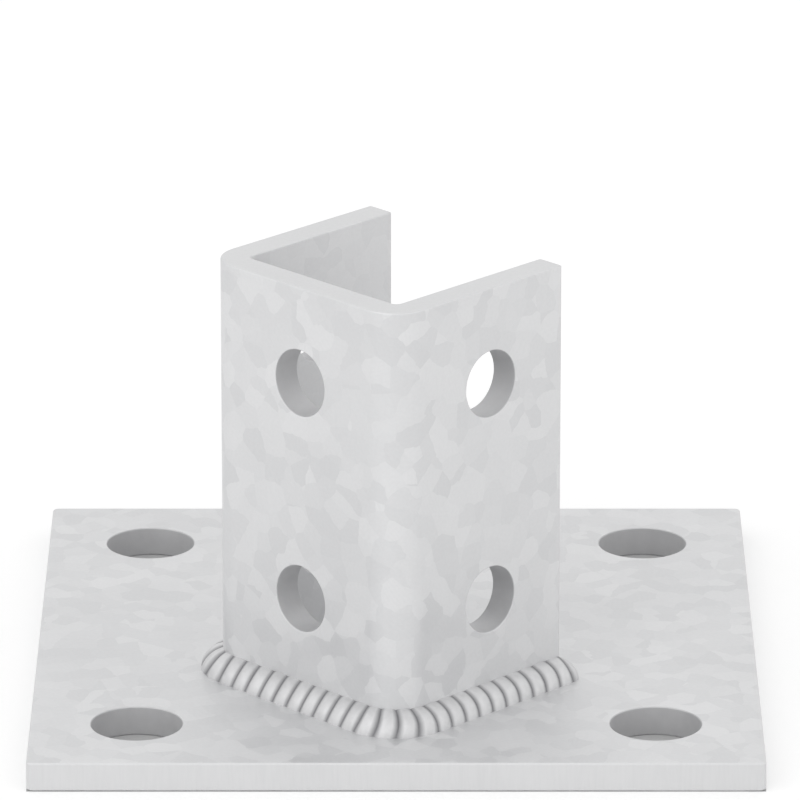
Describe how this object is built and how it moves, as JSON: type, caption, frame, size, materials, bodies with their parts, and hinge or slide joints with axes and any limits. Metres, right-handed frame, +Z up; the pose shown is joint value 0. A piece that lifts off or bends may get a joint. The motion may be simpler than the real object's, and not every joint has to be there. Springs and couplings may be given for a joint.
{
  "type": "strut post base",
  "caption": "Welded steel post base: square base plate with anchor holes and a cornerwise, bolted U-shaped socket that holds the foot of a strut post.",
  "frame": {"origin": "middle of the base plate's underside", "axes": "+Z up, square to the plate; X and Y along the plate's sides; the socket's near corner points along -Y, its web faces -X -Y and its open side faces +X +Y"},
  "size_m": [0.1524, 0.1524, 0.0978],
  "materials": {
    "galvanised_plate": "pale grey zinc coating, satin, on hot-rolled plate",
    "weld_metal": "rippled weld bead under the same pale grey zinc coating"
  },
  "bodies": {
    "root": {"base_plate": "galvanised_plate", "post_socket": "galvanised_plate", "weld_bead": "weld_metal"}
  },
  "joints": []
}
